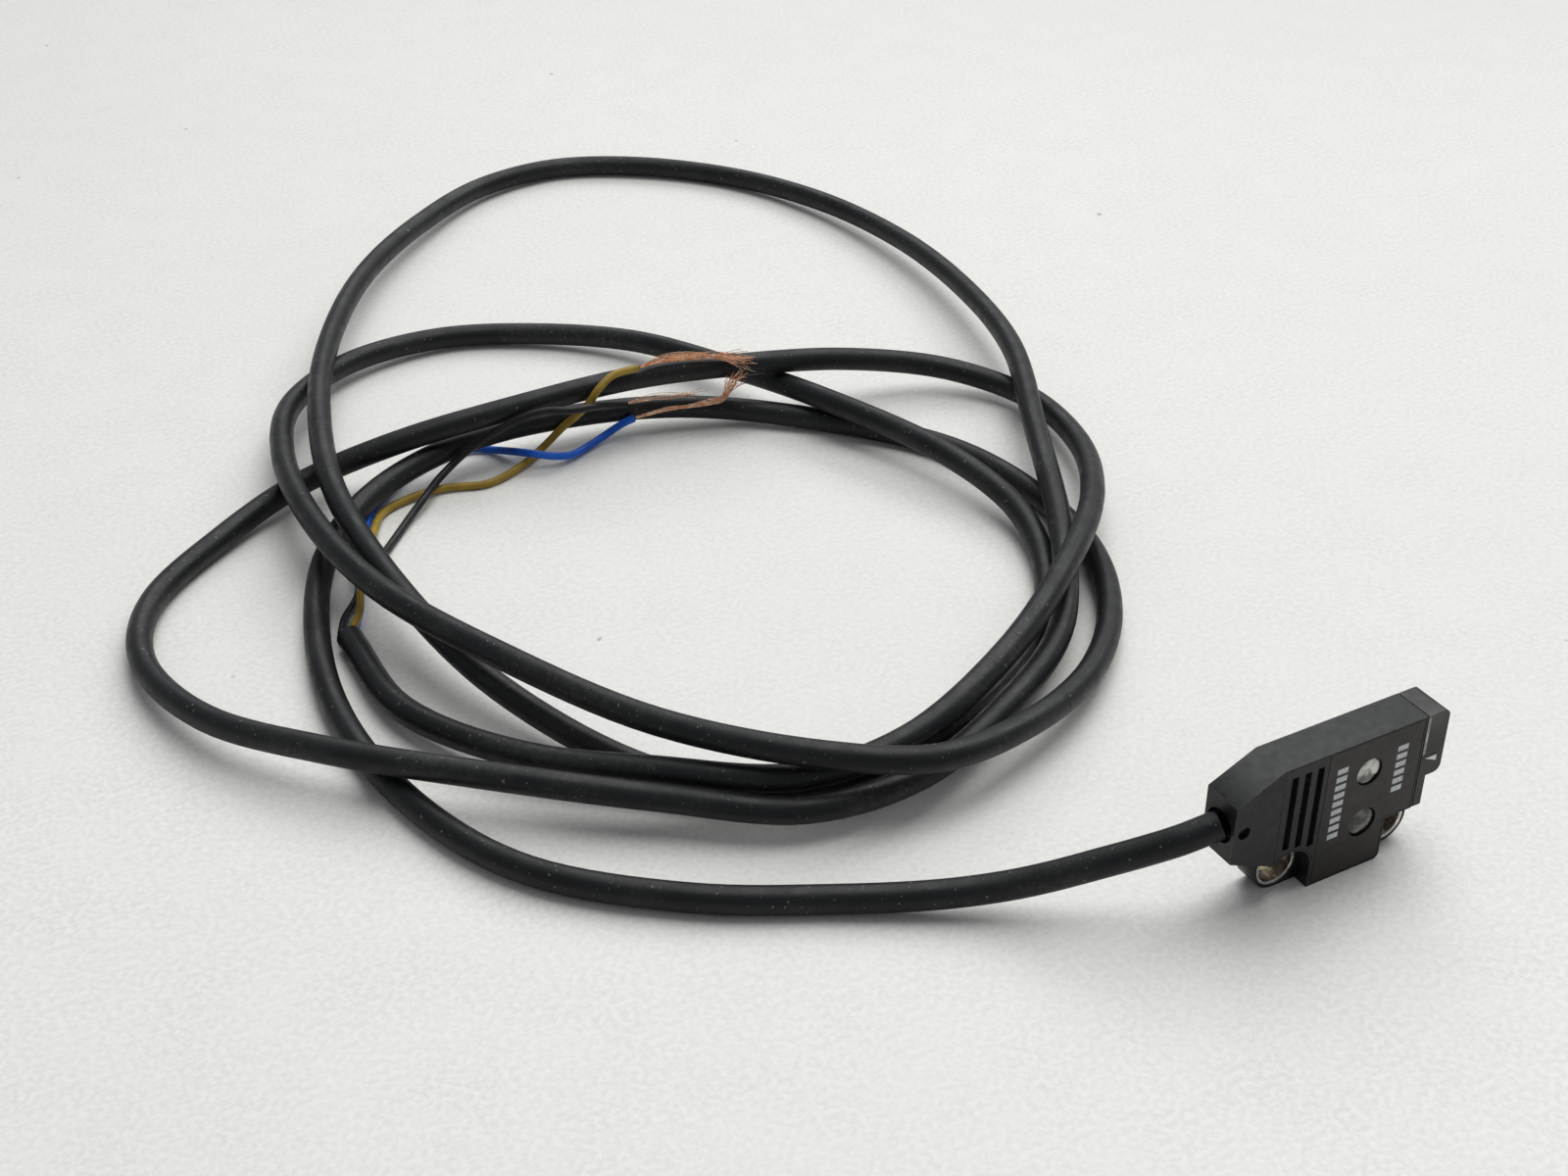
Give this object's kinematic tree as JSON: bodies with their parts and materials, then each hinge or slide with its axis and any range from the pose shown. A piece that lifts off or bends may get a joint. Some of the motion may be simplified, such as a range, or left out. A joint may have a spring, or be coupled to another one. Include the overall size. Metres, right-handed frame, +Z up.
{
  "type": "photoelectric sensor",
  "caption": "Thin side-on photoelectric sensor with mounting ears, finger grooves, smoked cover, optical block and an integral cable with stripped cores.",
  "frame": {"origin": "centre of the head's bottom edge, the cable left out", "axes": "+X from the cable end to the sensing end, -Y out of the face, +Z up"},
  "size_m": [0.1059, 0.1561, 0.013],
  "materials": {
    "housing": "fine satin black moulding",
    "smoked_cover": "glossy smoked brown-black",
    "lens": "glossy near-black optical plastic",
    "window": "milky light pipe",
    "sleeve_metal": "bright plated",
    "board": "solder-mask green",
    "chip": "moulded black",
    "ceramic": "fired ceramic",
    "solder": "bright solder",
    "cable_jacket": "satin dark grey",
    "core_brown": "satin ochre brown",
    "core_blue": "satin blue",
    "core_black": "satin black",
    "copper": "bare fine copper strands"
  },
  "bodies": {
    "root": {"housing_shell": "housing", "grip_panel": "housing", "front_cover": "smoked_cover", "operation_indicator_window": "window", "stability_indicator_window": "window", "lens_block": "lens", "light_shield": "housing", "emitter_lens": "lens", "receiver_lens": "lens", "rear_mounting_sleeve": "sleeve_metal", "front_mounting_sleeve": "sleeve_metal", "circuit_board": "board", "emitter_led": "window", "receiver_photodiode": "chip", "sensor_ic": "chip", "output_transistor": "chip", "surge_diode": "chip", "operation_led": "window", "stability_led": "window", "cable_bush": "housing", "crimp_ring": "sleeve_metal", "cable_root": "cable_jacket", "cable_jacket": "cable_jacket", "chip_capacitor_1": "ceramic", "solder_joint_1": "solder", "chip_capacitor_2": "ceramic", "solder_joint_2": "solder", "chip_capacitor_3": "ceramic", "solder_joint_3": "solder", "chip_resistor_1": "chip", "chip_resistor_2": "chip", "chip_resistor_3": "chip", "chip_resistor_4": "chip", "core_end_brown": "core_brown", "core_brown": "core_brown", "copper_brown": "copper", "core_end_blue": "core_blue", "core_blue": "core_blue", "copper_blue": "copper", "core_end_black": "core_black", "core_black": "core_black", "copper_black": "copper"}
  },
  "joints": []
}
